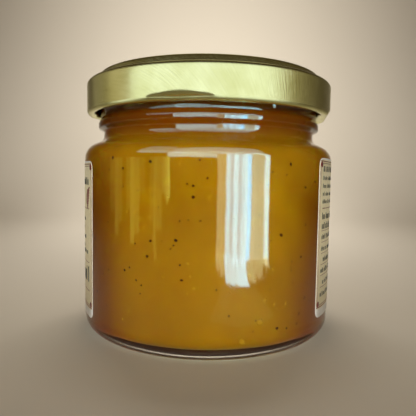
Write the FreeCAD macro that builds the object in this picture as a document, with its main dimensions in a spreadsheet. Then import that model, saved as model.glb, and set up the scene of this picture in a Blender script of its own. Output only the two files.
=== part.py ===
import FreeCAD, Part
import math
import os
import re
import Sketcher

# A jar of fruit spread: a clear glass jar with a wide twist-off mouth, the spread that fills it,
# a gold-lacquered tinplate cap screwed on it, and a paper label wrapped round its back.
# The jar stands on Z = 0 with its axis on Z, and the gap between the label's ends faces -Y.

SIZES = [
    # the glass jar
    ("body_radius", 35.0, "outside of the straight body"),
    ("wall", 2.4, "glass of the body and the shoulder"),
    ("rim_height", 69.45, "top of the rim, which the cap seats on"),
    ("push_up", 1.2, "how far the underside is hollowed"),
    ("push_up_slope", 1.3, "width of the slope from the foot ring into that hollow"),
    ("foot_width", 2.0, "flat ring that the jar stands on"),
    ("heel_round", 4.2, "rounding between the foot ring and the body"),
    ("floor_height", 2.6, "top of the glass floor beside the wall, before rounding"),
    ("floor_rise", 1.0, "how far the floor's middle lies above that"),
    ("floor_round", 3.5, "rounding inside, between the floor and the wall"),
    ("shoulder_angle", 24.0, "slope of the shoulder, in degrees from level"),
    ("shoulder_round", 4.2, "rounding from the body into the shoulder, outside"),
    ("shoulder_inside_round", 3.0, "the same rounding, inside"),
    ("waist_height", 3.05, "from the shoulder's slope up to the transfer bead"),
    ("waist_depth", 0.85, "how far the waist lies in from the finish"),
    ("waist_round", 2.2, "hollow rounding from the shoulder into the waist"),
    ("waist_inside_round", 3.0, "rounding from the shoulder into the bore"),
    ("bead_reach", 0.65, "how far the transfer bead stands out from the finish"),
    ("bead_height", 1.6, "height of the bead's outer face, before rounding"),
    ("bead_slope", 1.25, "height of the slope from the finish out to that face"),
    ("bead_round", 0.75, "rounding of the bead's two corners"),
    ("bead_gap", 0.95, "from the bead's upper slope to the bottom of the cap"),
    ("finish_radius", 30.7, "outside of the glass that the threads stand on"),
    ("finish_wall", 2.9, "glass between that and the bore of the mouth"),
    ("rim_round", 1.0, "rounding of both edges of the rim"),
    ("thread_round", 1.2, "radius of the threads' round section"),
    ("thread_end_round", 1.0, "rounding of the threads' ends"),
    ("thread_span", 100.0, "length of each thread, in degrees"),
    ("thread_lead", 4.5, "climb of each thread, in degrees"),
    # the spread
    ("headspace", 6.0, "from the spread's surface up to the rim"),
    # the cap
    ("tinplate", 0.25, "sheet that the cap is drawn from"),
    ("cap_height", 10.9, "from the bottom of the curl to the top of the panel"),
    ("edge_drop", 2.1, "from the raised panel down to the cap's outer edge"),
    ("edge_width", 3.35, "from the raised panel out to the cap's skirt"),
    ("edge_round", 1.3, "rounding of the cap's outer edge"),
    ("panel_slope", 0.7, "width of the slope round the raised panel"),
    ("panel_round", 0.8, "rounding of the panel's upper edge"),
    ("dish_gap", 0.5, "free space between the panel's dish and the mouth of the jar"),
    ("dish_depth", 0.8, "depth of the dish in the panel"),
    ("dish_slope", 0.8, "width of the slope into the dish"),
    ("button_radius", 10.5, "flat top of the freshness button"),
    ("button_rise", 0.5, "height of the button above the dish"),
    ("button_slope", 2.5, "width of the slope round the button"),
    ("curl_round", 1.1, "outer radius of the rolled edge"),
    ("curl_gap", 0.25, "free space between the rolled edge and the threads"),
    ("lug_count", 4, "lugs pressed out of the curl, each with a thread on the glass"),
    ("lug_span", 27.0, "length of a lug, in degrees"),
    ("lug_rise", 0.2, "from the bottom of the curl to the bottom of a lug"),
    ("lug_thickness", 0.9, "flattened curl that makes a lug"),
    ("lug_round", 0.3, "rounding of a lug's inner edges"),
    ("lug_gap", 0.35, "free space between a lug and the glass beside it"),
    ("thread_gap", 0.75, "from a lug up to its thread, halfway along both"),
    ("cap_turn", -11.0, "direction of the first lug, in degrees from +X"),
    # the label
    ("paper", 0.1, "thickness of the label"),
    ("label_foot_gap", 1.8, "straight glass below the label"),
    ("label_head_gap", 0.2, "straight glass above the label"),
    ("label_span", 252.0, "length of the label, in degrees"),
    ("label_turn", 88.0, "direction of the label's middle, in degrees from +X"),
    ("label_round", 2.0, "rounding of the label's corners"),
]

# Sizes that follow from the ones above, as formulas. The cap seats on the rim and its skirt
# clears the threads. The bead lies below the cap, and the waist and shoulder below the bead.
CAP_TOP = "(rim_height + tinplate)"
CAP_EDGE = f"({CAP_TOP} - edge_drop)"
CAP_BOTTOM = f"({CAP_TOP} - cap_height)"
CAP_RADIUS = "(finish_radius + thread_round + curl_gap + 2 * curl_round)"
CURL_RADIUS = f"({CAP_RADIUS} - curl_round)"
CURL_HEIGHT = f"({CAP_BOTTOM} + curl_round)"
PANEL_RADIUS = f"({CAP_RADIUS} - edge_width)"
BORE_RADIUS = "(finish_radius - finish_wall)"
DISH_EDGE = f"({BORE_RADIUS} - dish_gap)"
DISH_HEIGHT = f"({CAP_TOP} - dish_depth)"
BUTTON_HEIGHT = f"({DISH_HEIGHT} + button_rise)"
LUG_RADIUS = "(finish_radius + lug_gap)"
LUG_BOTTOM = f"({CAP_BOTTOM} + lug_rise)"
LUG_TOP = f"({LUG_BOTTOM} + lug_thickness)"
THREAD_HEIGHT = f"({LUG_TOP} + thread_gap + thread_round)"
FINISH_BOTTOM = f"({CAP_BOTTOM} - bead_gap)"
BEAD_RADIUS = "(finish_radius + bead_reach)"
BEAD_TOP = f"({FINISH_BOTTOM} - bead_slope)"
BEAD_BOTTOM = f"({BEAD_TOP} - bead_height)"
WAIST_RADIUS = "(finish_radius - waist_depth)"
WAIST_BOTTOM = f"({BEAD_BOTTOM} - waist_height)"
SLOPE = "tan(shoulder_angle)"
HALF_TURN = "tan((90 - shoulder_angle) / 2)"
SHOULDER_HEIGHT = f"({WAIST_BOTTOM} - (body_radius - {WAIST_RADIUS}) * {SLOPE})"
INNER_RADIUS = "(body_radius - wall)"
INNER_SHOULDER = f"({SHOULDER_HEIGHT} - wall * {HALF_TURN})"
INNER_WAIST = f"({INNER_SHOULDER} + ({INNER_RADIUS} - {BORE_RADIUS}) * {SLOPE})"
FOOT_INSIDE = "(body_radius - heel_round - foot_width)"
FLOOR_MIDDLE = "(floor_height + floor_rise)"
SPREAD_TOP = "(rim_height - headspace)"
LABEL_RADIUS = "(body_radius + paper)"
LABEL_BOTTOM = "(heel_round + label_foot_gap)"
LABEL_TOP = f"({SHOULDER_HEIGHT} - shoulder_round * {HALF_TURN} - label_head_gap)"

NEAR = 1e-4  # millimetres: edges this close to a stated place lie on it
ORIGIN = (-1, 1)  # Sketcher's numbers for a sketch's origin,
LEVEL_AXIS, TURN_AXIS = -1, -2  # for its level axis and for the axis that it turns about,
START, END, CENTRE = 1, 2, 3  # and for the points of a line or an arc

doc = FreeCAD.newDocument("fruit_spread_jar")
sizes = doc.addObject("Spreadsheet::Sheet", "sizes")
for row, (alias, value, meaning) in enumerate(SIZES, start=1):
    sizes.set(f"A{row}", str(value))
    sizes.setAlias(f"A{row}", alias)
    sizes.set(f"B{row}", meaning)
doc.recompute()

ALIASES = re.compile(r"\b(" + "|".join(alias for alias, value, meaning in SIZES) + r")\b")


def bind(thing, path, formula):
    """Ties one property of an object to a formula in the sheet's aliases."""
    thing.setExpression(path, ALIASES.sub(r"sizes.\1", formula))


def worth(formula):
    """What a formula in the sheet's aliases comes to, in millimetres or degrees."""
    return sizes.evalExpression(formula)


# Sections, drawn in the XZ plane with the radius along x and the height along y.


def new_body(name):
    """An empty body with a label of its own."""
    body = doc.addObject("PartDesign::Body", name)
    body.Label = name
    return body


def new_section(body, name):
    """An empty sketch on the body's XZ plane."""
    sketch = body.newObject("Sketcher::SketchObject", name)
    plane = next(f for f in body.Origin.OriginFeatures if f.Role == "XZ_Plane")
    sketch.AttachmentSupport = [(plane, "")]
    sketch.MapMode = "FlatFace"
    return sketch


def hold(sketch, point, radius, height):
    """Holds a sketch's point at a radius and a height, each a formula, or None on an axis."""
    for kind, axis, formula in (
        ("DistanceX", TURN_AXIS, radius),
        ("DistanceY", LEVEL_AXIS, height),
    ):
        if formula is None:
            sketch.addConstraint(Sketcher.Constraint("PointOnObject", *point, axis))
            continue
        rule = Sketcher.Constraint(kind, *ORIGIN, *point, worth(formula))
        bind(sketch, f"Constraints[{sketch.addConstraint(rule)}]", formula)


def draw_outline(sketch, points):
    """Draws a closed outline of straight lines through points, each a radius and a height."""
    corners = [
        FreeCAD.Vector(worth(radius or "0"), worth(height or "0"), 0)
        for radius, height in points
    ]
    for start, end in zip(corners, corners[1:] + corners[:1]):
        sketch.addGeometry(Part.LineSegment(start, end), False)
    for line, (radius, height) in enumerate(points):
        before = (line - 1) % len(points)
        sketch.addConstraint(Sketcher.Constraint("Coincident", before, END, line, START))
        hold(sketch, (line, START), radius, height)


def draw_circle(sketch, radius, height, size):
    """Draws a circle of a size round a radius and a height, all three formulas."""
    centre = FreeCAD.Vector(worth(radius), worth(height or "0"), 0)
    circle = Part.Circle(centre, FreeCAD.Vector(0, 0, 1), worth(size))
    number = sketch.addGeometry(circle, False)
    rule = Sketcher.Constraint("Radius", number, worth(size))
    bind(sketch, f"Constraints[{sketch.addConstraint(rule)}]", size)
    hold(sketch, (number, CENTRE), radius, height)


def draw_roll(sketch, radius, height, outside, inside):
    """Draws sheet rolled three quarters round a centre, open towards the upper right."""
    centre = FreeCAD.Vector(worth(radius), worth(height), 0)
    arcs = []
    for size in (outside, inside):
        circle = Part.Circle(centre, FreeCAD.Vector(0, 0, 1), worth(size))
        arc = sketch.addGeometry(Part.ArcOfCircle(circle, math.pi / 2, math.pi * 2), False)
        rule = Sketcher.Constraint("Radius", arc, worth(size))
        bind(sketch, f"Constraints[{sketch.addConstraint(rule)}]", size)
        sketch.addConstraint(Sketcher.Constraint("Vertical", arc, CENTRE, arc, START))
        sketch.addConstraint(Sketcher.Constraint("Horizontal", arc, CENTRE, arc, END))
        arcs.append(arc)
    outer, inner = arcs
    hold(sketch, (outer, CENTRE), radius, height)
    sketch.addConstraint(Sketcher.Constraint("Coincident", outer, CENTRE, inner, CENTRE))
    for tip in (START, END):
        ends = [sketch.getPoint(arc, tip) for arc in arcs]
        line = sketch.addGeometry(Part.LineSegment(*ends), False)
        sketch.addConstraint(Sketcher.Constraint("Coincident", outer, tip, line, START))
        sketch.addConstraint(Sketcher.Constraint("Coincident", inner, tip, line, END))


# Solids turned from those sections.


def turn(sketch, name, span=None):
    """Turns a section about the jar's axis: all round, or evenly to both sides by a span."""
    solid = sketch.getParentGeoFeatureGroup().newObject("PartDesign::Revolution", name)
    solid.Profile = sketch
    solid.ReferenceAxis = (sketch, ["V_Axis"])
    solid.Angle = 360
    if span:
        solid.Midplane = True
        bind(solid, "Angle", span)
    doc.recompute()
    return solid


def fillet(base, edges, rounding):
    """Rounds some edges of a body's feature, each given by its name."""
    rounded = base.getParentGeoFeatureGroup().newObject("PartDesign::Fillet", rounding)
    rounded.Base = (base, edges)
    bind(rounded, "Radius", rounding)
    doc.recompute()
    return rounded


def edges_round_axis(shape, radius, height):
    """Names of the edges that run round the axis at a radius and a height."""
    return [
        f"Edge{number}"
        for number, edge in enumerate(shape.Edges, start=1)
        if isinstance(edge.Curve, Part.Circle)
        and abs(edge.Curve.Radius - worth(radius)) < NEAR
        and abs(edge.Curve.Center.z - worth(height)) < NEAR
    ]


def round_corners(base, corners):
    """Rounds corners, each a radius, a height and a rounding, one rounding after another."""
    for rounding in dict.fromkeys(corner[2] for corner in corners):
        edges = [
            edge
            for radius, height, wanted in corners
            if wanted == rounding
            for edge in edges_round_axis(base.Shape, radius, height or "0")
        ]
        base = fillet(base, edges, rounding)
    return base


def turned_body(name, profile):
    """A body turned all round from corners, each a radius, a height and a rounding or None."""
    body = new_body(name)
    sketch = new_section(body, f"{name}_section")
    draw_outline(sketch, [(radius, height) for radius, height, rounding in profile])
    round_corners(turn(sketch, f"{name}_turned"), [c for c in profile if c[2]])
    return body


# The jar's hollow, from the floor up to the mouth. The spread fills it face to face.
HOLLOW = [
    (INNER_RADIUS, "floor_height", "floor_round"),
    (INNER_RADIUS, INNER_SHOULDER, "shoulder_inside_round"),
    (BORE_RADIUS, INNER_WAIST, "waist_inside_round"),
]


def make_jar():
    """The pressed and blown glass: a turned wall, with inclined threads round its mouth."""
    outside = [
        (None, "push_up", None),
        (f"{FOOT_INSIDE} - push_up_slope", "push_up", None),
        (FOOT_INSIDE, None, None),
        ("body_radius", None, "heel_round"),
        ("body_radius", SHOULDER_HEIGHT, "shoulder_round"),
        (WAIST_RADIUS, WAIST_BOTTOM, "waist_round"),
        (WAIST_RADIUS, BEAD_BOTTOM, None),
        (BEAD_RADIUS, BEAD_BOTTOM, "bead_round"),
        (BEAD_RADIUS, BEAD_TOP, "bead_round"),
        ("finish_radius", FINISH_BOTTOM, None),
        ("finish_radius", "rim_height", "rim_round"),
    ]
    inside = [(BORE_RADIUS, "rim_height", "rim_round")] + HOLLOW[::-1]
    wall = turned_body("jar_wall", outside + inside + [(None, FLOOR_MIDDLE, None)])
    jar = doc.addObject("Part::MultiFuse", "jar_glass")
    jar.Shapes = [wall] + [make_thread(number) for number in range(int(sizes.lug_count))]
    return jar


def make_thread(number):
    """One thread: a stretch of ring on the glass that climbs past the middle of a lug."""
    name = f"thread_{number + 1}"
    thread = new_body(name)
    sketch = new_section(thread, f"{name}_section")
    draw_circle(sketch, "finish_radius", None, "thread_round")
    ring = turn(sketch, f"{name}_turned", span="thread_span")
    ends = [
        f"Edge{number}"
        for number, edge in enumerate(ring.Shape.Edges, start=1)
        if isinstance(edge.Curve, Part.Circle)
        and abs(edge.Curve.Radius - worth("thread_round")) < NEAR
    ]
    fillet(ring, ends, "thread_end_round")
    bind(thread, "Placement.Base.z", THREAD_HEIGHT)
    bind(thread, "Placement.Rotation.Roll", "thread_lead")
    # A yaw has to lie within half a turn either way, so whole turns are taken off.
    way = f"cap_turn + {number} * 360 / lug_count"
    bind(thread, "Placement.Rotation.Yaw", f"mod({way} + 540; 360) - 180")
    return thread


def make_spread():
    """The spread: one solid that fills the hollow up to its surface."""
    surface = [(BORE_RADIUS, SPREAD_TOP, None), (None, SPREAD_TOP, None)]
    return turned_body("fruit_spread", [(None, FLOOR_MIDDLE, None)] + HOLLOW + surface)


def make_cap():
    """The twist-off cap: drawn sheet, its edge rolled inward, and lugs pressed from the roll."""
    cap = turned_body(
        "lid",
        [
            (None, BUTTON_HEIGHT, None),
            ("button_radius", BUTTON_HEIGHT, None),
            ("button_radius + button_slope", DISH_HEIGHT, None),
            (f"{DISH_EDGE} - dish_slope", DISH_HEIGHT, None),
            (DISH_EDGE, CAP_TOP, None),
            (PANEL_RADIUS, CAP_TOP, "panel_round"),
            (f"{PANEL_RADIUS} + panel_slope", CAP_EDGE, None),
            (CAP_RADIUS, CAP_EDGE, "edge_round"),
            (CAP_RADIUS, CURL_HEIGHT, None),
            (None, CURL_HEIGHT, None),
        ],
    )
    blank = cap.Tip
    faces = blank.Shape.Faces
    mouth = min(range(len(faces)), key=lambda number: faces[number].CenterOfMass.z)
    drawn = cap.newObject("PartDesign::Thickness", "lid_drawn")
    drawn.Base = (blank, [f"Face{mouth + 1}"])
    drawn.Join = "Intersection"
    drawn.Reversed = True
    bind(drawn, "Value", "tinplate")
    doc.recompute()

    roll = new_section(cap, "lid_roll_section")
    draw_roll(roll, CURL_RADIUS, CURL_HEIGHT, "curl_round", "curl_round - tinplate")
    turn(roll, "lid_roll")

    pressed = new_section(cap, "lug_section")
    inner, outer = LUG_RADIUS, CURL_RADIUS
    low, high = LUG_BOTTOM, LUG_TOP
    draw_outline(pressed, [(inner, low), (outer, low), (outer, high), (inner, high)])
    lug = turn(pressed, "lug", span="lug_span")
    lugs = cap.newObject("PartDesign::PolarPattern", "lugs")
    lugs.Originals = [lug]
    lugs.Axis = (pressed, ["V_Axis"])
    lugs.Angle = 360
    bind(lugs, "Occurrences", "lug_count")
    cap.Tip = lugs
    doc.recompute()
    round_corners(lugs, [(inner, low, "lug_round"), (inner, high, "lug_round")])
    bind(cap, "Placement.Rotation.Yaw", "cap_turn")
    return cap


def make_label():
    """The paper label: a sheet wrapped round the straight body, with rounded corners."""
    label = new_body("label")
    sketch = new_section(label, "label_section")
    near, far = "body_radius", LABEL_RADIUS
    low, high = LABEL_BOTTOM, LABEL_TOP
    draw_outline(sketch, [(near, low), (far, low), (far, high), (near, high)])
    wrap = turn(sketch, "label_wrap", span="label_span")
    corners = [
        f"Edge{number}"
        for number, edge in enumerate(wrap.Shape.Edges, start=1)
        if abs(edge.Length - worth("paper")) < NEAR
    ]
    fillet(wrap, corners, "label_round")
    bind(label, "Placement.Rotation.Yaw", "label_turn")
    return label


nodes = [make_jar(), make_spread(), make_cap(), make_label()]
doc.recompute()

for thing in doc.Objects:
    if {"Invalid", "Error"} & set(thing.State):
        raise RuntimeError(f"{thing.Name} failed to build")
for node in nodes:
    if node.Shape.isNull() or not node.Shape.isValid() or len(node.Shape.Solids) != 1:
        raise RuntimeError(f"{node.Label} isn't one valid solid")
os.makedirs("parts", exist_ok=True)
for node in nodes:
    node.Shape.exportStep(f"parts/{node.Label}.step")
    print(node.Label, round(node.Shape.Volume, 1), "cubic millimetres")
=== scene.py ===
import math
import random

import bmesh
import bpy
from mathutils import Matrix, Vector, noise


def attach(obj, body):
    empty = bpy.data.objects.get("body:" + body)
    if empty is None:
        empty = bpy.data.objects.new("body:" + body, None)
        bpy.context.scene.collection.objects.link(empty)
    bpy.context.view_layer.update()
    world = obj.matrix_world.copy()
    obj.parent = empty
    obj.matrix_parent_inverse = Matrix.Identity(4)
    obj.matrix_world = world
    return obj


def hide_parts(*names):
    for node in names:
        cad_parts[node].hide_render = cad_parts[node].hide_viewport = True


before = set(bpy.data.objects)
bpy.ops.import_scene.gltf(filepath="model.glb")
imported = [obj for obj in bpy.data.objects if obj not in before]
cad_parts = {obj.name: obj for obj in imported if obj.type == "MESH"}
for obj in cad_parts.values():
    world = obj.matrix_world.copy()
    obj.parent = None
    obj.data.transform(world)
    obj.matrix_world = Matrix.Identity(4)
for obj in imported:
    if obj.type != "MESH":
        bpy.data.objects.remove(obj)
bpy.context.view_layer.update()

# The glass jar: clear soda-lime glass, blown in a two-part mould, with a wide mouth that carries
# four low threads, a transfer bead under them and a hollowed underside on a narrow foot ring.
# The outside of blown glass is never quite even, so its wall waves by up to a tenth of a
# millimetre, more in its lower half.

MM = 0.001
BODY_RADIUS = 35.0
WALL = 2.4
INNER_RADIUS = BODY_RADIUS - WALL
PUSH_UP = 1.2
PUSH_UP_RADIUS = 27.5
FOOT_INSIDE = 28.8
HEEL_ROUND = 4.2
SHOULDER_HEIGHT = 49.657
SHOULDER_ROUND = 4.2
WAIST_RADIUS = 29.85
WAIST_BOTTOM = 51.95
WAIST_TOP = 54.5
BEAD_RADIUS = 31.35
BEAD_BOTTOM = 55.3
BEAD_TOP = 56.6
FINISH_RADIUS = 30.7
FINISH_BOTTOM = 57.85
BORE_RADIUS = 27.8
RIM_HEIGHT = 69.45
RIM_MIDDLE = BORE_RADIUS + 1.2
RIM_ROUND = 1.0
INNER_WAIST = 50.236
INNER_SHOULDER = 48.098
INNER_ROUND = 3.0
FLOOR_HEIGHT = 2.6
FLOOR_MIDDLE = 3.6
FLOOR_ROUND = 3.5
BEND_STEP = 6
ON_AXIS = 1e-6


def rounded(corners, step=None):
    """A line through corners, each a radius, a height and a rounding, in millimetres."""
    line = []
    for number, (radius, height, rounding) in enumerate(corners):
        corner = Vector((radius, height))
        if not rounding:
            line.append(corner)
            continue
        back = (Vector(corners[number - 1][:2]) - corner).normalized()
        ahead = (Vector(corners[number + 1][:2]) - corner).normalized()
        half = back.angle(ahead) / 2
        reach = rounding / math.tan(half)
        middle = corner + (back + ahead).normalized() * rounding / math.sin(half)
        first = corner + back * reach - middle
        turn = first.angle_signed(corner + ahead * reach - middle)
        pieces = max(3, round(abs(turn) / math.radians(BEND_STEP)))
        for piece in range(pieces + 1):
            line.append(middle + Matrix.Rotation(-turn * piece / pieces, 2) @ first)
    if not step:
        return line
    divided = [line[0]]
    for point in line[1:]:
        last = divided[-1]
        parts = max(1, math.ceil((point - last).length / step))
        divided += [last.lerp(point, part / parts) for part in range(1, parts + 1)]
    return divided


def place(azimuth, radius, height):
    """A point in metres. Azimuth is in degrees from the front, -Y, towards the right, +X."""
    angle = math.radians(azimuth)
    return Vector((radius * math.sin(angle), -radius * math.cos(angle), height)) * MM


def new_object(name, mesh, finish):
    """Puts a finished mesh into the scene with one finish on it and smooth shading."""
    shape = bpy.data.meshes.new(name)
    bmesh.ops.recalc_face_normals(mesh, faces=mesh.faces)
    mesh.to_mesh(shape)
    mesh.free()
    shape.polygons.foreach_set("use_smooth", [True] * len(shape.polygons))
    shape.materials.append(finish)
    thing = bpy.data.objects.new(name, shape)
    bpy.context.scene.collection.objects.link(thing)
    return thing


def turned(line, sides, shaped):
    """A closed mesh turned about the jar's axis from a line, each point moved as shaped says."""
    mesh = bmesh.new()
    rings = []
    for number, point in enumerate(line):
        if point.x < ON_AXIS:
            rings.append([mesh.verts.new(place(0, 0, point.y))] * sides)
            continue
        ring = []
        for side in range(sides):
            azimuth = side * 360 / sides
            radius, height = shaped(azimuth, *point, number)
            ring.append(mesh.verts.new(place(azimuth, radius, height)))
        rings.append(ring)
    for low, high in zip(rings, rings[1:]):
        for side in range(sides):
            after = (side + 1) % sides
            corners = [low[side], low[after], high[after], high[side]]
            mesh.faces.new(list(dict.fromkeys(corners)))
    return mesh


def new_finish(name):
    """A new material, with its nodes, its links and its Principled shader."""
    finish = bpy.data.materials.new(name)
    finish.use_nodes = True
    nodes = finish.node_tree.nodes
    return finish, nodes, finish.node_tree.links, nodes["Principled BSDF"]


def difference(azimuth, other):
    """How far one azimuth lies from another, in degrees from -180 to 180."""
    return (azimuth - other + 180) % 360 - 180


LUG_AZIMUTHS = (-11, 79, 169, 259)
THREAD_HEIGHT = 61.85
THREAD_REACH = 1.2
THREAD_HALF_WIDTH = 1.7
THREAD_HALF_SPAN = 50
THREAD_FADE = 3
THREAD_CLIMB = FINISH_RADIUS * math.tan(math.radians(4.5))


def thread(azimuth, height):
    """How far a thread stands out of the finish at an azimuth and a height."""
    reach = 0
    for middle in LUG_AZIMUTHS:
        away = difference(azimuth, middle)
        ends = (THREAD_HALF_SPAN - abs(away)) / THREAD_FADE
        if ends <= 0:
            continue
        crest = THREAD_HEIGHT + THREAD_CLIMB * math.sin(math.radians(away))
        across = abs(height - crest) / THREAD_HALF_WIDTH
        if across < 1:
            bump = THREAD_REACH * math.cos(across * math.pi / 2) ** 2
            reach = max(reach, bump * math.sin(min(1, ends) * math.pi / 2))
    return reach


outside = rounded(
    [
        (0, PUSH_UP, 0),
        (PUSH_UP_RADIUS, PUSH_UP, 0.8),
        (FOOT_INSIDE, 0, 0.4),
        (BODY_RADIUS, 0, HEEL_ROUND),
        (BODY_RADIUS, SHOULDER_HEIGHT, SHOULDER_ROUND),
        (WAIST_RADIUS, WAIST_BOTTOM, 2.2),
        (WAIST_RADIUS, WAIST_TOP, 0.5),
        (BEAD_RADIUS, BEAD_BOTTOM, 0.7),
        (BEAD_RADIUS, BEAD_TOP, 0.75),
        (FINISH_RADIUS, FINISH_BOTTOM, 0.3),
        (FINISH_RADIUS, RIM_HEIGHT, RIM_ROUND),
        (RIM_MIDDLE, RIM_HEIGHT, 0),
    ],
    step=0.7,
)
inside = rounded(
    [
        (RIM_MIDDLE, RIM_HEIGHT, 0),
        (BORE_RADIUS, RIM_HEIGHT, RIM_ROUND),
        (BORE_RADIUS, INNER_WAIST, INNER_ROUND),
        (INNER_RADIUS, INNER_SHOULDER, INNER_ROUND),
        (INNER_RADIUS, FLOOR_HEIGHT, FLOOR_ROUND),
        (0, FLOOR_MIDDLE, 0),
    ]
)[1:]

WAVE_LENGTH = 6.0
WAVE_DEPTH = 0.045
LOW_WAVE_DEPTH = 0.10
RIPPLE_LENGTH = 2.2
RIPPLE_DEPTH = 0.012
LOW_TOP = 32
LOW_FADE = 12
FOOT_FADE = 3


def blown(azimuth, radius, height, number):
    """Where the glass lies: threads stand out of the finish, and the outer wall waves a little."""
    if number >= len(outside):
        return radius, height
    if height > FINISH_BOTTOM:
        return radius + thread(azimuth, height), height
    low = min(1, max(0, (LOW_TOP - height) / LOW_FADE))
    depth = WAVE_DEPTH + (LOW_WAVE_DEPTH - WAVE_DEPTH) * low
    if height < FOOT_FADE:
        depth *= height / FOOT_FADE
    wave = noise.noise(place(azimuth, radius, height) / (WAVE_LENGTH * MM))
    ripple = noise.noise(place(azimuth, radius, height) / (RIPPLE_LENGTH * MM))
    depth = depth * (0.5 + 0.5 * wave) + RIPPLE_DEPTH * low * (0.5 + 0.5 * ripple)
    return radius - depth, height


glass, nodes, links, shader = new_finish("clear_glass")
shader.inputs["Base Color"].default_value = (0.95, 0.97, 0.95, 1)
shader.inputs["Roughness"].default_value = 0.065
shader.inputs["IOR"].default_value = 1.5
shader.inputs["Transmission Weight"].default_value = 1.0
see_through = nodes.new("ShaderNodeBsdfTransparent")
see_through.inputs["Color"].default_value = (0.96, 0.97, 0.96, 1)
path = nodes.new("ShaderNodeLightPath")
either = nodes.new("ShaderNodeMixShader")
links.new(path.outputs["Is Shadow Ray"], either.inputs["Fac"])
links.new(shader.outputs["BSDF"], either.inputs[1])
links.new(see_through.outputs["BSDF"], either.inputs[2])
links.new(either.outputs["Shader"], nodes["Material Output"].inputs["Surface"])

jar = new_object("jar_glass_blown", turned(outside + inside, 288, blown), glass)
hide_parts("jar_glass")
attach(jar, "root")

# The spread: cooked fruit set to a soft, cloudy gel that lets light a few millimetres in. It was
# filled in hot, so it lies against the glass everywhere, and its surface set six millimetres
# below the rim.

CONTACT = 0.12
SHOULDER_HALF_TURN = 33
SLOPE_CONTACT = CONTACT * math.tan(math.radians(SHOULDER_HALF_TURN))
SPREAD_TOP = 63.45
SURFACE_DROP = 0.5
CLIMB_WIDTH = 1.5
LUMP_HEIGHT = 0.4
LUMP_LENGTH = 6
LUMPS_FROM = SPREAD_TOP - SURFACE_DROP - 0.2
LUMPS_WITHIN = BORE_RADIUS - 1

filled = rounded(
    [
        (0, FLOOR_MIDDLE - CONTACT, 0),
        (INNER_RADIUS + CONTACT, FLOOR_HEIGHT - CONTACT, FLOOR_ROUND + CONTACT),
        (INNER_RADIUS + CONTACT, INNER_SHOULDER + SLOPE_CONTACT, INNER_ROUND + CONTACT),
        (BORE_RADIUS + CONTACT, INNER_WAIST + SLOPE_CONTACT, INNER_ROUND - CONTACT),
        (BORE_RADIUS + CONTACT, SPREAD_TOP, 0.1),
        (BORE_RADIUS - CLIMB_WIDTH, SPREAD_TOP - SURFACE_DROP, CLIMB_WIDTH),
        (0, SPREAD_TOP - SURFACE_DROP, 0),
    ],
    step=2.0,
)


def settled(azimuth, radius, height, number):
    """Where the spread lies: its free surface is a little lumpy, the rest follows the glass."""
    if height > LUMPS_FROM and radius < LUMPS_WITHIN:
        height += LUMP_HEIGHT * noise.noise(place(azimuth, radius, 0) / (LUMP_LENGTH * MM))
    return radius, height


def two_tones(nodes, links, scale, dark, light, span=(0.35, 0.65), detail=2):
    """The patches and the tone of a colour that drifts between dark and light."""
    where = nodes.new("ShaderNodeTexCoord")
    patches = nodes.new("ShaderNodeTexNoise")
    patches.inputs["Scale"].default_value = scale
    patches.inputs["Detail"].default_value = detail
    tone = nodes.new("ShaderNodeValToRGB")
    for end, position, colour in zip(tone.color_ramp.elements, span, (dark, light)):
        end.position = position
        end.color = (*colour, 1)
    links.new(where.outputs["Object"], patches.inputs["Vector"])
    links.new(patches.outputs["Fac"], tone.inputs["Fac"])
    return patches, tone


def blended(nodes, links, factor, colour, other):
    """A colour blended with another, plain one by a factor."""
    blend = nodes.new("ShaderNodeMix")
    blend.data_type = "RGBA"
    blend.inputs["B"].default_value = (*other, 1)
    links.new(factor, blend.inputs["Factor"])
    links.new(colour, blend.inputs["A"])
    return blend.outputs["Result"]


def eased(nodes, links, measure, start, end, low=0.0, high=1.0):
    """A number that eases from low to high while a measure goes from start to end."""
    ease = nodes.new("ShaderNodeMapRange")
    ease.interpolation_type = "SMOOTHSTEP"
    ease.inputs["From Min"].default_value = start
    ease.inputs["From Max"].default_value = end
    ease.inputs["To Min"].default_value = low
    ease.inputs["To Max"].default_value = high
    links.new(measure, ease.inputs["Value"])
    return ease.outputs["Result"]


def worked(nodes, links, operation, *terms, clamp=False):
    """The result of one sum on numbers and on other nodes' outputs."""
    working = nodes.new("ShaderNodeMath")
    working.operation = operation
    working.use_clamp = clamp
    for socket, term in zip(working.inputs, terms):
        if isinstance(term, bpy.types.NodeSocket):
            links.new(term, socket)
        else:
            socket.default_value = term
    return working.outputs["Value"]


spread, nodes, links, shader = new_finish("fruit_gel")
GEL_DARK = (0.32, 0.144, 0.001)
GEL_LIGHT = (0.43, 0.210, 0.001)
FIBRE_COLOUR = (0.48, 0.255, 0.004)
_, tone = two_tones(nodes, links, 70, GEL_DARK, GEL_LIGHT, (0.30, 0.70), detail=3)
fibre, flecks = two_tones(nodes, links, 420, (0, 0, 0), (1, 1, 1), (0.64, 0.80), detail=4)
fibre.inputs["Distortion"].default_value = 0.6
mixed = blended(nodes, links, flecks.outputs["Color"], tone.outputs["Color"], FIBRE_COLOUR)

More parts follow.
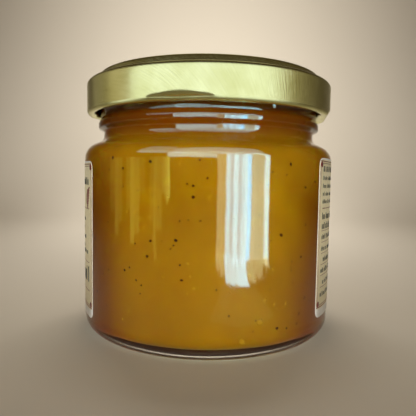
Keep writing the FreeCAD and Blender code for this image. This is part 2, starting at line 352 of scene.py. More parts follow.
# Painted shade: the spread's colour is made darker and redder beside the label, under the cap
# and at the foot, where less light reaches into it. Azimuths are in degrees from the front, and
# heights are in metres.
PAINTED_SHADE_COLOUR = (0.17, 0.040, 0.0004)
CLEAR_WITHIN, SHADED_FROM = 24, 54
SIDE_SHADE, SHOULDER_SHADE, FOOT_SHADE = 0.84, 0.42, 0.22
SIDE_TOP, SHOULDER_FOOT = 0.034, 0.046
CAP_SHADE_FOOT, CAP_SHADE_TOP = 0.0465, 0.0560
FOOT_SHADE_TOP, FOOT_SHADE_FOOT = 0.034, 0.004
where = nodes.new("ShaderNodeTexCoord")
split = nodes.new("ShaderNodeSeparateXYZ")
links.new(where.outputs["Object"], split.inputs["Vector"])
across, back, up = split.outputs
ahead = worked(nodes, links, "MULTIPLY", back, -1.0)
azimuth = worked(nodes, links, "ARCTAN2", across, ahead)
aside = worked(nodes, links, "ABSOLUTE", azimuth)
at_label = eased(nodes, links, aside, math.radians(CLEAR_WITHIN), math.radians(SHADED_FROM))
at_shoulder = eased(nodes, links, up, SIDE_TOP, SHOULDER_FOOT, SIDE_SHADE, SHOULDER_SHADE)
at_cap = eased(nodes, links, up, CAP_SHADE_FOOT, CAP_SHADE_TOP)
at_foot = eased(nodes, links, up, FOOT_SHADE_TOP, FOOT_SHADE_FOOT, high=FOOT_SHADE)
beside = worked(nodes, links, "MULTIPLY", at_label, at_shoulder)
shade_beside_and_under_cap = worked(nodes, links, "MAXIMUM", beside, at_cap)
painted_shade_share = worked(nodes, links, "ADD", shade_beside_and_under_cap, at_foot, clamp=True)
# The painted shade: the gel's own colour blended towards the dark red by the share worked out
# above.
with_painted_shade = blended(nodes, links, painted_shade_share, mixed, PAINTED_SHADE_COLOUR)
links.new(with_painted_shade, shader.inputs["Base Color"])
shader.subsurface_method = "RANDOM_WALK"
shader.inputs["Subsurface Weight"].default_value = 1.0
shader.inputs["Subsurface Radius"].default_value = (1.0, 0.45, 0.08)
shader.inputs["Subsurface Scale"].default_value = 0.003
shader.inputs["Roughness"].default_value = 0.35
shader.inputs["Specular IOR Level"].default_value = 0.04

gel = new_object("fruit_spread_gel", turned(filled, 192, settled), spread)
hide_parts("fruit_spread")
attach(gel, "root")

# The specks: crushed seeds and bits of peel, dark brown and up to a millimetre long, cooked into
# the spread. Only those that came to lie against the glass show, and they lie all round the jar.

SPECK_RADIUS = INNER_RADIUS + CONTACT
SPECK_FOOT = 7
SPECK_TOP = 46
SPECK_LEAST = 0.26
SPECK_SPREAD = 0.3
BIT_SHARE = 0.72
BIT_UNEVEN = 0.35
BIT_DETAIL = 1.3
speck_places = [
    (-42, 46.5, 0.50), (-36, 44, 0.40), (-3, 46, 0.32), (0, 42, 0.36), (35, 45.5, 0.60),
    (33, 43, 0.30), (31, 29, 0.66), (-12, 28, 0.50), (-12.8, 26.8, 0.32), (-22.5, 27.5, 0.45),
    (-9.5, 19, 0.55), (-29, 18, 0.42), (-35, 20, 0.45), (-26.5, 17, 0.36), (-27, 15, 0.30),
    (9, 11, 0.42), (30, 7, 0.60), (35, 6.5, 0.45), (41, 7, 0.36), (-2.5, 32.5, 0.38),
    (45, 31, 0.42), (37, 22.5, 0.30), (-14, 26, 0.28), (4, 17, 0.34), (20, 9.5, 0.30),
]
chance = random.Random(7)
for _ in range(120):
    azimuth, height = chance.uniform(0, 360), chance.uniform(SPECK_FOOT, SPECK_TOP)
    speck_places.append((azimuth, height, SPECK_LEAST + SPECK_SPREAD * chance.random() ** 2))
for _ in range(50):
    azimuth, height = chance.uniform(50, 310), chance.uniform(SPECK_FOOT, SPECK_TOP)
    speck_places.append((azimuth, height, chance.uniform(0.2, 0.6)))


def bits(places, radius, flat):
    """Small uneven bits that lie flat in the spread's face, each at an azimuth and a height."""
    mesh = bmesh.new()
    for azimuth, height, size in places:
        made = bmesh.ops.create_icosphere(mesh, subdivisions=2, radius=1)["verts"]
        lean = Matrix.Rotation(math.radians(azimuth), 3, "Z")
        spin = Matrix.Rotation(chance.uniform(0, math.pi), 3, "Y")
        wide = chance.uniform(0.55, 0.95)
        seat = Vector((chance.uniform(0, 50), azimuth, height))
        for vert in made:
            rough = 1 + BIT_UNEVEN * noise.noise(vert.co * BIT_DETAIL + seat)
            lump = Vector((vert.co.x, vert.co.y * flat, vert.co.z * wide)) * rough
            lump = lean @ spin @ lump * (size * BIT_SHARE * MM)
            vert.co = place(azimuth, radius, height) + lump
    return mesh


peel, nodes, links, shader = new_finish("dark_peel")
_, tone = two_tones(nodes, links, 260, (0.040, 0.004, 0.0005), (0.09, 0.014, 0.001))
links.new(tone.outputs["Color"], shader.inputs["Base Color"])
shader.inputs["Roughness"].default_value = 0.6
shader.inputs["Specular IOR Level"].default_value = 0.05

specks = new_object("peel_specks", bits(speck_places, SPECK_RADIUS + 0.04, 0.4), peel)
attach(specks, "root")

# The bits of pulp: soft shreds of fruit, brighter and more orange than the gel round them. They
# were cooked with it, and the few that were pressed against the glass in filling show.

pulp_places = [(14.5, 4.9, 1.1), (22, 9, 1.2), (-36, 8, 0.6), (17, 20, 0.8), (24, 14, 0.9)]
for _ in range(60):
    azimuth = chance.choice((chance.uniform(-36, 36), chance.uniform(60, 300)))
    pulp_places.append((azimuth, chance.uniform(6, SPECK_TOP), chance.uniform(0.3, 0.8)))

pulp, nodes, links, shader = new_finish("orange_pulp")
_, tone = two_tones(nodes, links, 200, (0.39, 0.18, 0.001), (0.46, 0.225, 0.002))
links.new(tone.outputs["Color"], shader.inputs["Base Color"])
shader.inputs["Roughness"].default_value = 0.5
shader.inputs["Specular IOR Level"].default_value = 0.1

shreds = new_object("pulp_bits", bits(pulp_places, SPECK_RADIUS - 0.05, 0.25), pulp)
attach(shreds, "root")

# The cap: a round blank of tinplate, lacquered gold, drawn to a shallow cup and its edge rolled
# inward. The roll is pressed flat at four places to make the lugs, which dents the skirt there.
# The lines that rolling left in the flat sheet still run one way across the whole blank.

TINPLATE = 0.25
CAP_TOP = 69.7
CAP_RADIUS = 34.35
BUTTON_RADIUS = 10.5
BUTTON_TOP = 69.4
DISH_START = 13.0
DISH_RADIUS = 26.5
DISH_HEIGHT = 68.9
PANEL_INSIDE = 27.3
PANEL_RADIUS = 31.0
STEP_RADIUS = 31.7
STEP_HEIGHT = 67.62
SKIRT_TOP = 67.58
CURL_ROUND = 1.1
CURL_HEIGHT = 59.9
CURL_RADIUS = CAP_RADIUS - CURL_ROUND
CURL_TURN = 280
CURL_STEP = 10

drawn = rounded(
    [
        (0, BUTTON_TOP, 0),
        (BUTTON_RADIUS, BUTTON_TOP, 4.0),
        (DISH_START, DISH_HEIGHT, 4.0),
        (DISH_RADIUS, DISH_HEIGHT, 0.7),
        (PANEL_INSIDE, CAP_TOP, 0.7),
        (PANEL_RADIUS, CAP_TOP, 0.8),
        (STEP_RADIUS, STEP_HEIGHT, 0.4),
        (CAP_RADIUS, SKIRT_TOP, 1.0),
        (CAP_RADIUS, CURL_HEIGHT + 0.01, 0),
    ],
    step=0.5,
)
rolled = [
    Vector((CURL_RADIUS, CURL_HEIGHT))
    + CURL_ROUND * Vector((math.cos(math.radians(turn)), -math.sin(math.radians(turn))))
    for turn in range(0, CURL_TURN, CURL_STEP)
]
outer_sheet = drawn + rolled


def thickened(line, thickness):
    """The other face of a sheet whose outer face is a line from the axis outward."""
    face = []
    for number, point in enumerate(line):
        before, after = line[max(0, number - 1)], line[min(len(line) - 1, number + 1)]
        way = (after - before).normalized()
        face.append(point + Vector((way.y, -way.x)) * thickness)
    face[0].x = 0
    return face


cap_line = outer_sheet + thickened(outer_sheet, TINPLATE)[::-1]
reaches = [0.0]
for before, after in zip(outer_sheet, outer_sheet[1:]):
    reaches.append(reaches[-1] + (after - before).length)
reaches += reaches[::-1]

ROLL_INSIDE = CURL_RADIUS - CURL_ROUND - 0.1
DENT_TOP = 61.8
DENT_DEPTH = 0.85
DENT_BEND = 3.4
DENT_HALF_SPAN = 40
DENT_SOFT = 0.05
DENT_FADE = 0.2
LUG_HALF_SPAN = 13.5
LUG_FADE = 4
LUG_HEIGHT = 59.45
LUG_SQUASH = 0.46
LUG_SPREAD = 1.32
LUG_INSET = 0.8
ROLL_INSET = 0.9
SKIRT_INSET = 0.6
SKIRT_BLEND = 0.8


def pressed(azimuth, radius, height, number):
    """Where the sheet lies: flattened over each lug, with its roll pressed flat and inward."""
    away = min(abs(difference(azimuth, lug)) for lug in LUG_AZIMUTHS)
    if height < DENT_TOP and radius > ROLL_INSIDE:
        sink = min(1, (DENT_TOP - height) / (DENT_TOP - CURL_HEIGHT))
        depth = DENT_DEPTH * sink ** DENT_BEND
        chord = (CAP_RADIUS - depth) / math.cos(math.radians(min(away, DENT_HALF_SPAN)))
        short = CAP_RADIUS - chord
        dent = (short + math.sqrt(short * short + DENT_SOFT * DENT_SOFT)) / 2
        dent -= DENT_SOFT / 2 * max(0, 1 - max(0, short) / DENT_FADE)
        radius -= max(0, dent)
    share = min(1, max(0, (LUG_HALF_SPAN + LUG_FADE / 2 - away) / LUG_FADE))
    share = share * share * (3 - 2 * share)
    if share and reaches[number] > reaches[len(drawn)]:
        flat_radius = CAP_RADIUS - LUG_INSET + (radius - CAP_RADIUS + ROLL_INSET) * LUG_SPREAD
        flat_height = LUG_HEIGHT + (height - CURL_HEIGHT) * LUG_SQUASH
        inner = max(0, min(1, (CAP_RADIUS - SKIRT_INSET - radius) / SKIRT_BLEND))
        radius += (min(radius, flat_radius) - radius) * share * inner
        height += (flat_height - height) * share * inner
    return radius, height


def embossed(nodes, links, shader, height, strength, depth):
    """Gives a finish a faint relief, as deep as a depth in metres, from one node's output."""
    relief = nodes.new("ShaderNodeBump")
    relief.inputs["Strength"].default_value = strength
    relief.inputs["Distance"].default_value = depth
    links.new(height, relief.inputs["Height"])
    links.new(relief.outputs["Normal"], shader.inputs["Normal"])


lacquer, nodes, links, shader = new_finish("gold_lacquered_tinplate")
blank = nodes.new("ShaderNodeAttribute")
blank.attribute_name = "blank"
stretch = nodes.new("ShaderNodeMapping")
stretch.inputs["Scale"].default_value = (0.12, 2.4, 1)
lines = nodes.new("ShaderNodeTexNoise")
lines.inputs["Scale"].default_value = 1.0
lines.inputs["Detail"].default_value = 5
lines.inputs["Roughness"].default_value = 0.65
lines.inputs["Distortion"].default_value = 0.15
patches = nodes.new("ShaderNodeTexNoise")
patches.inputs["Scale"].default_value = 0.12
patches.inputs["Detail"].default_value = 2
tone = nodes.new("ShaderNodeValToRGB")
tone.color_ramp.elements[0].position = 0.25
tone.color_ramp.elements[0].color = (0.52, 0.505, 0.18, 1)
tone.color_ramp.elements[1].position = 0.75
tone.color_ramp.elements[1].color = (0.655, 0.65, 0.29, 1)
rough = nodes.new("ShaderNodeMapRange")
rough.inputs["From Min"].default_value = 0.3
rough.inputs["From Max"].default_value = 0.7
rough.inputs["To Min"].default_value = 0.19
rough.inputs["To Max"].default_value = 0.27
links.new(blank.outputs["Vector"], stretch.inputs["Vector"])
links.new(stretch.outputs["Vector"], lines.inputs["Vector"])
links.new(blank.outputs["Vector"], patches.inputs["Vector"])
both = worked(nodes, links, "MULTIPLY_ADD", lines.outputs["Fac"], 0.5, patches.outputs["Fac"])
links.new(worked(nodes, links, "SUBTRACT", both, 0.25), tone.inputs["Fac"])
links.new(tone.outputs["Color"], shader.inputs["Base Color"])
links.new(lines.outputs["Fac"], rough.inputs["Value"])
links.new(rough.outputs["Result"], shader.inputs["Roughness"])
shader.inputs["Metallic"].default_value = 1.0
embossed(nodes, links, shader, lines.outputs["Fac"], 0.6, 0.00009)

CAP_SIDES = 480
GRAIN_AZIMUTH = 40
cap = new_object("lid_drawn", turned(cap_line, CAP_SIDES, pressed), lacquer)
flat_sheet = cap.data.attributes.new("blank", "FLOAT_VECTOR", "POINT")
places = []
for reach, point in zip(reaches, cap_line):
    if point.x < ON_AXIS:
        places.append((0, 0, 0))
        continue
    for side in range(CAP_SIDES):
        angle = math.radians(side * 360 / CAP_SIDES - GRAIN_AZIMUTH)
        places.append((reach * math.cos(angle), reach * math.sin(angle), 0))
flat_sheet.data.foreach_set("vector", [value for point in places for value in point])
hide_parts("lid")
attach(cap, "root")

# The label: coated paper, wrapped by hand round the back of the jar and a little crooked, with
# a cream field, a double border and rounded corners. Its ends leave the front of the jar clear.

LABEL_START = 52.0
LABEL_SPAN = 252.0
LABEL_BACK = 35.01
LABEL_FACE = 35.05
FIELD_FACE = 35.07
INK_FACE = 35.09
FLAT_INK_FACE = INK_FACE - 0.01
BITE = 0.005
LABEL_LENGTH = math.radians(LABEL_SPAN) * LABEL_FACE
LABEL_WIDTH = 40.7
LABEL_CORNER = 2.0
LABEL_FOOT = 6.0
LABEL_TILT = 1.6
PRINT_STEP = 1.0
CORNER_STEPS = 5
LEAF_STEPS = 6


def on_label(along, up, radius):
    """A point on the jar's body from a place on the label, in millimetres from its corner."""
    share = along / LABEL_LENGTH
    azimuth = LABEL_START + LABEL_SPAN * share
    return place(azimuth, radius, LABEL_FOOT + up + LABEL_TILT * (0.5 - share))


def add_sheet(mesh, outline, face, back):
    """Adds a thin closed sheet with an outline, bent round the jar between two radii."""
    low, high = min(p[0] for p in outline), max(p[0] for p in outline)
    flat = bmesh.new()
    flat.faces.new([flat.verts.new((along, up, 0)) for along, up in outline])
    cuts = int((high - low) / PRINT_STEP)
    for cut in range(1, cuts + 1):
        bmesh.ops.bisect_plane(
            flat,
            geom=flat.verts[:] + flat.edges[:] + flat.faces[:],
            plane_co=(low + (high - low) * cut / (cuts + 1), 0, 0),
            plane_no=(1, 0, 0),
            dist=1e-4,
        )
    front, rear = (
        {v: mesh.verts.new(on_label(v.co.x, v.co.y, radius)) for v in flat.verts}
        for radius in (face, back)
    )
    for patch in flat.faces:
        mesh.faces.new([front[v] for v in patch.verts])
        mesh.faces.new([rear[v] for v in reversed(patch.verts)])
    for edge in flat.edges:
        if len(edge.link_faces) == 1:
            a, b = edge.verts
            mesh.faces.new([front[a], front[b], rear[b], rear[a]])
    flat.free()


def plate(left, low, right, high, corner=0.0):
    """The outline of a rectangle, with rounded corners if a corner's radius is given."""
    if not corner:
        return [(left, low), (right, low), (right, high), (left, high)]
    outline = []
    for x, y, start in (
        (right - corner, low + corner, -90),
        (right - corner, high - corner, 0),
        (left + corner, high - corner, 90),
        (left + corner, low + corner, 180),
    ):
        for step in range(CORNER_STEPS + 1):
            angle = math.radians(start + 90 * step / CORNER_STEPS)
            outline.append((x + corner * math.cos(angle), y + corner * math.sin(angle)))
    return outline


def oval(along, up, wide, high, steps=20):
    """The outline of an ellipse about a place."""
    turns = [math.tau * step / steps for step in range(steps)]
    return [(along + wide / 2 * math.cos(t), up + high / 2 * math.sin(t)) for t in turns]


def leaf(along, up, long, wide, lean):
    """The outline of a pointed leaf whose stalk end is at a place, leaning by an angle."""
    outline = []
    turn = math.radians(lean)
    for step in range(2 * LEAF_STEPS):
        share = min(step, 2 * LEAF_STEPS - step) / LEAF_STEPS
        side = 1 if step < LEAF_STEPS else -1
        x = long * share
        y = side * wide / 2 * math.sin(math.pi * share) ** 0.8
        outline.append(
            (
                along + x * math.cos(turn) - y * math.sin(turn),
                up + x * math.sin(turn) + y * math.cos(turn),
            )
        )
    return outline


def printed(name, outlines, face, back, finish):
    """One piece of print or paper, made of every sheet with one of the outlines."""
    mesh = bmesh.new()
    for outline in outlines:
        add_sheet(mesh, outline, face, back)
    thing = new_object(name, mesh, finish)
    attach(thing, "root")
    return thing


def paper_finish(name, dark, light, roughness=0.4):
    """Coated paper or ink on it: two close tones, mottled as fine as the paper's fibres."""
    finish, nodes, links, shader = new_finish(name)
    fibres, tone = two_tones(nodes, links, 900, dark, light, detail=4)
    links.new(tone.outputs["Color"], shader.inputs["Base Color"])
    embossed(nodes, links, shader, fibres.outputs["Fac"], 0.15, 0.00002)
    shader.inputs["Roughness"].default_value = roughness
    return finish


white_paper = paper_finish("white_paper", (0.78, 0.76, 0.70), (0.86, 0.84, 0.79), 0.45)
cream_ink = paper_finish("cream_field", (0.80, 0.71, 0.44), (0.87, 0.79, 0.52), 0.42)
red_ink = paper_finish("dark_red_ink", (0.16, 0.022, 0.018), (0.22, 0.035, 0.028))
green_ink = paper_finish("dark_green_ink", (0.026, 0.036, 0.028), (0.045, 0.056, 0.042))
orange_ink = paper_finish("orange_ink", (0.66, 0.26, 0.020), (0.78, 0.36, 0.035))
leaf_ink = paper_finish("leaf_green_ink", (0.07, 0.15, 0.030), (0.11, 0.22, 0.050))

sheet = plate(0, 0, LABEL_LENGTH, LABEL_WIDTH, LABEL_CORNER)
paper = printed("label_paper", [sheet], LABEL_FACE, LABEL_BACK, white_paper)
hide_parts("label")

left, low, right, high = 0.2, 2.2, LABEL_LENGTH - 0.2, LABEL_WIDTH - 0.4
field = plate(left, low, right, high, 1.4)
printed("label_field", [field], FIELD_FACE, LABEL_FACE - BITE, cream_ink)


def frame_lines(left, low, right, high, thick):
    """The outlines of the four thin lines of a frame."""
    return [
        plate(left, low, right, low + thick),
        plate(left, high - thick, right, high),
        plate(left, low + thick, left + thick, high - thick),
        plate(right - thick, low + thick, right, high - thick),
    ]


WORDS = (1.2, 4.2)
STROKES = (0.18, 0.42)
STROKE_GAP = 0.22
STROKE_HEIGHT = 1.2
LEAST_STROKE = 0.25
LEAST_WORD = 0.8


def text_row(left, right, up, tall, gaps=0.7):
    """Short upright bars of uneven length in a row, as small print looks from afar."""
    row = []
    along = left
    while along < right - LEAST_WORD:
        word = min(chance.uniform(*WORDS), right - along)
        letter = along
        while letter < along + word - LEAST_STROKE:
            wide = chance.uniform(*STROKES) * tall / STROKE_HEIGHT
            high = tall * chance.choice((0.72, 0.72, 1.0))
            end = min(letter + wide, along + word)
            row.append(plate(letter, up, end, up + high))
            letter = end + STROKE_GAP
        along += word + gaps
    return row


red_lines = []
for inset, thick in ((0.3, 0.2), (0.85, 0.14)):
    red_lines += frame_lines(left + inset, low + inset, right - inset, high - inset, thick)
for x in (left + 1.25, right - 1.25):
    for y in (low + 1.25, high - 1.25):
        red_lines.append(oval(x, y, 1.5, 1.5, steps=12))

# The end to the right of the clear glass: a heading, four lines of text and a table of facts
# with thin rules, all of them plain bars of ink.

FACTS_LEFT = 2.6
FACTS_RIGHT = 42
red_lines.append(plate(FACTS_LEFT, 27.9, FACTS_RIGHT, 27.9 + 0.2))
for y in (22.2, 19.3, 16.4, 13.5, 10.7, 7.6):
    red_lines.append(plate(FACTS_LEFT, y, FACTS_RIGHT, y + 0.1))

dark_print = text_row(FACTS_LEFT, 16, 37.3, 1.9, 0.9)
for y in (35.2, 33.2, 31.2, 29.2):
    dark_print += text_row(FACTS_LEFT, FACTS_RIGHT - chance.uniform(0, 6), y, 1.05)
dark_print += text_row(FACTS_LEFT, 22, 25.2, 1.7, 0.8) + text_row(FACTS_LEFT, 12, 22.7, 1.7, 0.8)
for y, inset in ((20.1, 0), (17.1, 0), (14.2, 1.6), (11.4, 0), (8.3, 1.6), (5.2, 0)):
    dark_print += text_row(FACTS_LEFT + inset, 17 + chance.uniform(0, 4), y, 1.25)
    dark_print += text_row(32, 38, y, 1.25)

# The main panel of the label faces the back: two plain fruits with their leaves over a title
# band, in a thin frame. Everything is flat ink on the cream field.

MIDDLE = LABEL_LENGTH / 2
red_lines += frame_lines(MIDDLE - 30, 5.2, MIDDLE + 30, 38.1, 0.18)
band = [plate(MIDDLE - 26, 8.2, MIDDLE + 26, 15.6, 1.2)]
fruits = [oval(MIDDLE - 5.5, 25.6, 13, 12.4), oval(MIDDLE + 7.2, 24.2, 11.2, 10.6)]
leaves = [
    leaf(MIDDLE - 4.5, 31.4, 9.5, 3.8, 24),
    leaf(MIDDLE - 6.5, 31.4, 9.0, 3.6, 152),
    leaf(MIDDLE + 8.2, 29.2, 7.5, 3.0, 38),
    leaf(MIDDLE - 18, 26.0, 7.0, 2.4, 60),
    leaf(MIDDLE - 18, 24.5, 6.0, 2.2, -60),
    leaf(MIDDLE + 18, 26.0, 7.0, 2.4, 120),
    leaf(MIDDLE + 18, 24.5, 6.0, 2.2, -120),
]
red_lines.append(plate(MIDDLE - 21, 18.0, MIDDLE + 21, 18.25))
red_lines.append(plate(MIDDLE - 15, 17.1, MIDDLE + 15, 17.25))
title = text_row(MIDDLE - 18, MIDDLE + 18, 10.4, 3.0, 1.6)

# The end to the left of the clear glass: a heading, five lines of text and the weight in large
# type between thin rules, with a small sprig in the dark red of the frame.

WEIGHT_LEFT = LABEL_LENGTH - 42
WEIGHT_RIGHT = right - 2.6
for y in (28.3, 14.2, 6.8):
    red_lines.append(plate(WEIGHT_LEFT, y, right - 2.4, y + 0.16))
for number in range(9):
    stalk, up = right - 4.6 + 0.16 * number, 29.4 + 0.5 * number
    for lean in (-50, 130):
        red_lines.append(leaf(stalk, up, 1.5, 0.7, lean + number * 9))
dark_print += text_row(WEIGHT_LEFT + 3, right - 9, 32.4, 2.2, 0.9)
for y in (25.0, 22.6, 20.2, 17.8, 15.6):
    dark_print += text_row(WEIGHT_LEFT, right - 4 - chance.uniform(0, 9), y, 1.1)
dark_print += text_row(right - 17, WEIGHT_RIGHT, 9.2, 4.0, 1.2)
dark_print += text_row(right - 12, WEIGHT_RIGHT, 34.6, 1.9)
dark_print += text_row(right - 13, WEIGHT_RIGHT, 16.4, 1.3)

printed("label_red_print", red_lines, INK_FACE, FIELD_FACE - BITE, red_ink)
printed("label_dark_print", dark_print, INK_FACE, FIELD_FACE - BITE, green_ink)
printed("label_band", band, FLAT_INK_FACE, FIELD_FACE - BITE, red_ink)
printed("label_title", title, INK_FACE, FLAT_INK_FACE - BITE, cream_ink)
printed("label_fruits", fruits, FLAT_INK_FACE, FIELD_FACE - BITE, orange_ink)
printed("label_leaves", leaves, INK_FACE, FIELD_FACE - BITE, leaf_ink)

# The studio: a pale floor that sweeps up behind the jar, soft lamps, and bright panels that only
# the gloss shows, as a window does in glass. The camera stands close, a little above the middle.

HALF_FLOOR = 1.6
SWEEP_START = 0.30
SWEEP_ROUND = 0.35
SWEEP_TOP = 1.8
SWEEP_STEP = 5


def stage_finish(name, colour):
    """A plain matt paint with a faint unevenness."""
    finish, nodes, links, shader = new_finish(name)
    shade = [0.97 * value for value in colour]
    _, tone = two_tones(nodes, links, 3, shade, colour, span=(0, 1))
    links.new(tone.outputs["Color"], shader.inputs["Base Color"])
    shader.inputs["Roughness"].default_value = 0.9
    shader.inputs["Specular IOR Level"].default_value = 0.1
    return finish


sweep = [(-HALF_FLOOR, 0.0), (SWEEP_START, 0.0)]
for turn in range(SWEEP_STEP, 90 + SWEEP_STEP, SWEEP_STEP):
    angle = math.radians(turn)
    back = SWEEP_START + SWEEP_ROUND * math.sin(angle)
    sweep.append((back, SWEEP_ROUND - SWEEP_ROUND * math.cos(angle)))
sweep.append((SWEEP_START + SWEEP_ROUND, SWEEP_TOP))
mesh = bmesh.new()
rows = [[mesh.verts.new((x, y, z)) for x in (-HALF_FLOOR, 0, HALF_FLOOR)] for y, z in sweep]
for low_row, high_row in zip(rows, rows[1:]):
    for side in range(2):
        corners = [low_row[side], low_row[side + 1], high_row[side + 1], high_row[side]]
        mesh.faces.new(corners)
floor = new_object("floor_sweep", mesh, stage_finish("pale_paint", (0.60, 0.53, 0.42)))

world = bpy.data.worlds.new("studio")
bpy.context.scene.world = world
world.use_nodes = True
background = world.node_tree.nodes["Background"]
background.inputs["Color"].default_value = (1.0, 0.68, 0.34, 1)
background.inputs["Strength"].default_value = 0.08

on_glass = bpy.data.collections.new("cards_for_the_glass")
on_glass.objects.link(jar)
on_cap = bpy.data.collections.new("cards_for_the_cap")
on_cap.objects.link(cap)


def new_lamp(name, spot, target, wide, high, power, colour=(1, 1, 1), gloss_on=None, spread=180):
    """A soft rectangular lamp that faces a target. A card shows only in the gloss of a piece."""
    lamp = bpy.data.lights.new(name, "AREA")
    lamp.shape = "RECTANGLE"
    lamp.size, lamp.size_y = wide, high
    lamp.energy = power
    lamp.color = colour
    lamp.spread = math.radians(spread)
    thing = bpy.data.objects.new(name, lamp)
    bpy.context.scene.collection.objects.link(thing)
    spot, target = Vector(spot), Vector(target)
    facing = (target - spot).to_track_quat("-Z", "Y").to_matrix().to_4x4()
    thing.matrix_world = Matrix.Translation(spot) @ facing
    thing.visible_camera = False
    thing.visible_transmission = False
    thing.visible_glossy = gloss_on is not None
    thing.visible_diffuse = gloss_on is None
    if gloss_on:
        thing.light_linking.receiver_collection = gloss_on
    return thing


def panel(name, left, right, low, high, distance, level, colour, gloss_on):
    """A bright card between two azimuths and two heights, facing the jar's axis."""
    middle = math.radians((left + right) / 2)
    wide = 2 * distance * math.tan(math.radians((right - left) / 2))
    spot = (distance * math.sin(middle), -distance * math.cos(middle), (low + high) / 2)
    power = level * wide * (high - low) * math.pi
    new_lamp(name, spot, (0, 0, spot[2]), wide, high - low, power, colour, gloss_on)


CARD_LIFT = 0.0005


def flat_card(name, left, right, near, far, level, colour, gloss_on):
    """A bright card that lies on the floor between two azimuths and two distances, facing up."""
    middle = math.radians((left + right) / 2)
    reach = (near + far) / 2
    wide = 2 * reach * math.tan(math.radians((right - left) / 2))
    spot = Vector((reach * math.sin(middle), -reach * math.cos(middle), CARD_LIFT))
    power = level * wide * (far - near) * math.pi
    card = new_lamp(name, spot, spot, wide, far - near, power, colour, gloss_on)
    turn = Matrix.Rotation(middle, 4, "Z") @ Matrix.Rotation(math.pi, 4, "X")
    card.matrix_world = Matrix.Translation(spot) @ turn


# What the shoulder and the front of the glass show: a window with its curtain on the right, the
# sky over it, and the edges of a dim room on the left.
CARD_DISTANCE = 0.150
CARD_FOOT = 0.001
ROOM_TOP = 0.054
WINDOW_TOP = 0.076
SKY_FOOT = 0.078
SKY_LOW = 0.088
WINDOW_COLOUR = (0.46, 0.87, 1.0)
ROOM_COLOUR = (0.88, 1.0, 0.15)
CURTAIN_COLOUR = (0.76, 1.0, 0.7)
SKY_COLOUR = (0.64, 1.0, 0.97)
for name, left, right, level, colour in (
    ("window_edge", 7.0, 13.6, 4.4, (1.0, 1.0, 0.52)),
    ("window_a", 13.6, 16.8, 16.0, WINDOW_COLOUR),
    ("window_b", 16.8, 18.7, 11.0, WINDOW_COLOUR),
    ("window_c", 18.9, 23.0, 18.5, WINDOW_COLOUR),
    ("window_d", 23.2, 24.8, 12.0, WINDOW_COLOUR),
    ("window_e", 25.0, 26.4, 19.0, WINDOW_COLOUR),
    ("window_f", 26.4, 27.4, 15.0, WINDOW_COLOUR),
    ("window_g", 27.4, 30.0, 20.0, WINDOW_COLOUR),
    ("window_h", 30.0, 33.0, 21.0, (0.24, 0.78, 1.12)),
    ("curtain_a", 33.0, 36.5, 8.0, CURTAIN_COLOUR),
    ("curtain_b", 36.5, 43.4, 6.6, CURTAIN_COLOUR),
    ("curtain_edge", 43.4, 47.6, 15.5, (0.6, 1.0, 1.0)),
):
    panel(name, left, right, CARD_FOOT, WINDOW_TOP, CARD_DISTANCE, level, colour, on_glass)

sky = [
    ("sky_low_far", -54, -30, SKY_FOOT, SKY_LOW, 3.6),
    ("sky_low_left", -30, 10, SKY_FOOT, SKY_LOW, 5.6),
    ("sky_low_right", 10, 46, SKY_FOOT, SKY_LOW, 9.5),
]
for low, high, level in ((SKY_LOW, 0.106, 7.5), (0.106, 0.130, 5.0), (0.130, 0.200, 3.8)):
    sky.append((f"sky_{level}", -30, 46, low, high, level))
    sky.append((f"sky_left_{level}", -58, -30, low, high, 0.6 * level))
sky.append(("sky_foot", -30, 7.0, ROOM_TOP, SKY_FOOT, 8.0))
for name, left, right, low, high, level in sky:
    panel(name, left, right, low, high, CARD_DISTANCE, level, SKY_COLOUR, on_glass)

room = [("pane_edge", -29.4, -28.2, 0.031, 6.5)]
for left, right, low, level in (
    (-84, -78, 0.024, 0.4), (-78, -74, 0.012, 0.9), (-74, -70, 0.019, 0.6),
    (-66, -62, 0.026, 0.6), (-62, -58, 0.008, 1.8), (-58, -53, 0.014, 1.3),
    (-53, -48, 0.034, 0.5), (-44, -41, 0.020, 0.7), (-41, -38.5, 0.001, 1.5),
    (-38.5, -34, 0.016, 1.2), (-34, -32, 0.034, 2.0),
    (-32, -30.6, 0.031, 2.8), (-30.6, -29.4, 0.029, 4.2),
):
    room.append((f"room_{-left}", left, right, low, level))
for name, left, right, low, level in room:
    panel(name, left, right, low, ROOM_TOP, CARD_DISTANCE, level, ROOM_COLOUR, on_glass)

# What the lower wall shows: the lit sill in front of the window, its near edge uneven, and the
# glow of the table between the sill and the jar.
SILL_FAR = 0.156
SILL_COLOUR = (0.92, 1.0, 0.55)
TABLE_COLOUR = (0.85, 1.0, 0.35)
TABLE_LEVEL = 0.45
for number, (left, right, near, level, colour) in enumerate((
    (7.0, 9.5, 0.128, 4.0, SILL_COLOUR), (9.5, 12.5, 0.121, 4.5, SILL_COLOUR),
    (12.5, 15.0, 0.108, 15.0, WINDOW_COLOUR), (15.0, 16.6, 0.105, 13.0, WINDOW_COLOUR),
    (16.6, 20.0, 0.102, 17.0, WINDOW_COLOUR), (20.0, 21.6, 0.1045, 13.0, WINDOW_COLOUR),
    (21.6, 26.0, 0.1035, 18.0, WINDOW_COLOUR), (26.0, 30.5, 0.1055, 18.0, WINDOW_COLOUR),
    (30.5, 36.0, 0.114, 5.5, SILL_COLOUR), (36.0, 42.0, 0.125, 5.0, SILL_COLOUR),
    (42.0, 44.5, 0.138, 8.0, SILL_COLOUR), (44.5, 47.6, 0.133, 10.0, SILL_COLOUR),
), start=1):
    flat_card(f"sill_{number}", left, right, near, SILL_FAR, level, colour, on_glass)
for number, (left, right, near, far) in enumerate((
    (7, 38, 0.060, 0.106), (8, 34, 0.063, 0.103), (9, 30, 0.067, 0.099), (11, 26, 0.072, 0.094)
), start=1):
    name = f"table_glow_{number}"
    flat_card(name, left, right, near, far, TABLE_LEVEL, TABLE_COLOUR, on_glass)

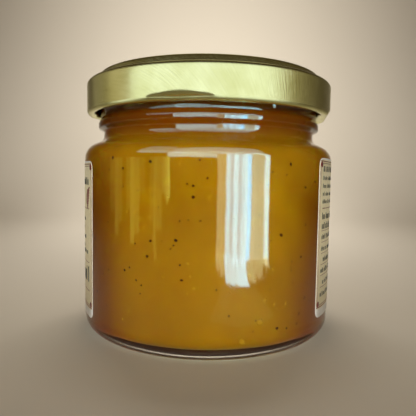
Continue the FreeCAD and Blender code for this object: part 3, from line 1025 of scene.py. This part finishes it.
# What the lacquer shows: a bright front, darker sides, and a pale ceiling over the cap.
CAP_CARD = 0.30
CAP_LEVEL = 1.55
CAP_COLOUR = (0.90, 1.01, 1.32)
SHADE_COLOUR = (1.0, 0.90, 0.72)
TOP_COLOUR = (1.0, 0.93, 0.80)
TOP_WIDE, TOP_DEEP, TOP_LEVEL = 0.44, 0.24, 0.50
for left, right, level, colour in (
    (-125, -95, 0.25, SHADE_COLOUR), (-95, -68, 0.55, SHADE_COLOUR),
    (-68, -30, CAP_LEVEL, CAP_COLOUR), (-30, 0, CAP_LEVEL, CAP_COLOUR),
    (0, 30, CAP_LEVEL, CAP_COLOUR), (30, 62, CAP_LEVEL, CAP_COLOUR),
    (62, 76, 0.50, SHADE_COLOUR), (76, 98, 0.16, SHADE_COLOUR), (98, 130, 0.06, SHADE_COLOUR),
):
    for low, high, share in ((0.001, 0.03, 0.85), (0.03, 0.18, 1.0), (0.18, 0.27, 0.5)):
        name = f"soft_{left + 200}_{round(1000 * low)}"
        panel(name, left, right, low, high, CAP_CARD, share * level, colour, on_cap)
for near, far, level in ((0.09, 0.13, 0.5), (0.13, 0.17, 0.9), (0.17, 0.30, 1.3)):
    for left, right in ((-90, -60), (6, 34), (34, 62)):
        name = f"soft_floor_{left + 100}_{round(1000 * near)}"
        flat_card(name, left, right, near, far, level, CAP_COLOUR, on_cap)
top_power = TOP_WIDE * TOP_DEEP * math.pi * TOP_LEVEL
top_spot, over_cap = (0, 0.30, 0.56), (0, 0, 0.07)
new_lamp("soft_top", top_spot, over_cap, TOP_WIDE, TOP_DEEP, top_power, TOP_COLOUR, on_cap)

# The lamps: a key and a fill in front, a glow from the table that only the spread takes up, and
# soft ones behind the jar and on the sweep.
KEY_COLOUR = (1.0, 0.99, 0.97)
GLOW_COLOUR = (1.0, 0.26, 0.03)
BOUNCE_COLOUR = (1.0, 0.95, 0.88)
new_lamp("key", (0.03, -1.10, 0.31), (0, 0, 0.06), 0.40, 0.40, 0.455, KEY_COLOUR, spread=30)
new_lamp("fill", (-0.66, -0.44, 0.20), (0, 0, 0.04), 0.3, 0.3, 0.026, spread=30)
glow = new_lamp("under_glow", (0, 0, 0.0008), (0, 0, 0.1), 0.054, 0.054, 0.0036, GLOW_COLOUR)
bounce = new_lamp("bounce", (0.05, -0.30, 0.002), (0, 0, 0.058), 0.2, 0.1, 0.26, BOUNCE_COLOUR)
on_gel = bpy.data.collections.new("glow_for_the_gel")
on_gel.objects.link(gel)
for lamp in (glow, bounce):
    lamp.light_linking.receiver_collection = on_gel
new_lamp("rear", (0, 0.26, 0.45), (0, 0.26, 0), 0.14, 0.40, 0.32, spread=50)
for side in (-1, 1):
    spot = (0.26 * side, 0.46, 0.16)
    new_lamp(f"behind_{side + 2}", spot, (0, 0, 0.03), 0.2, 0.2, 0.036, spread=30)
new_lamp("backdrop", (0, -0.05, 0.55), (0, 0.62, 0.22), 0.3, 0.3, 1.4, spread=80)

CAMERA_PLACE = (0.0002, -0.1306, 0.0421)
CAMERA_TILT = 90 - 3.94
CAMERA_ROLL = 0.84
camera_data = bpy.data.cameras.new("camera")
camera_data.sensor_width = 36
camera_data.lens = 38.08
camera_data.clip_start = 0.001
camera = bpy.data.objects.new("camera", camera_data)
bpy.context.scene.collection.objects.link(camera)
camera.matrix_world = (
    Matrix.Translation(CAMERA_PLACE)
    @ Matrix.Rotation(math.radians(CAMERA_TILT), 4, "X")
    @ Matrix.Rotation(math.radians(CAMERA_ROLL), 4, "Z")
)
bpy.context.scene.camera = camera
bpy.context.scene.view_settings.view_transform = "Standard"
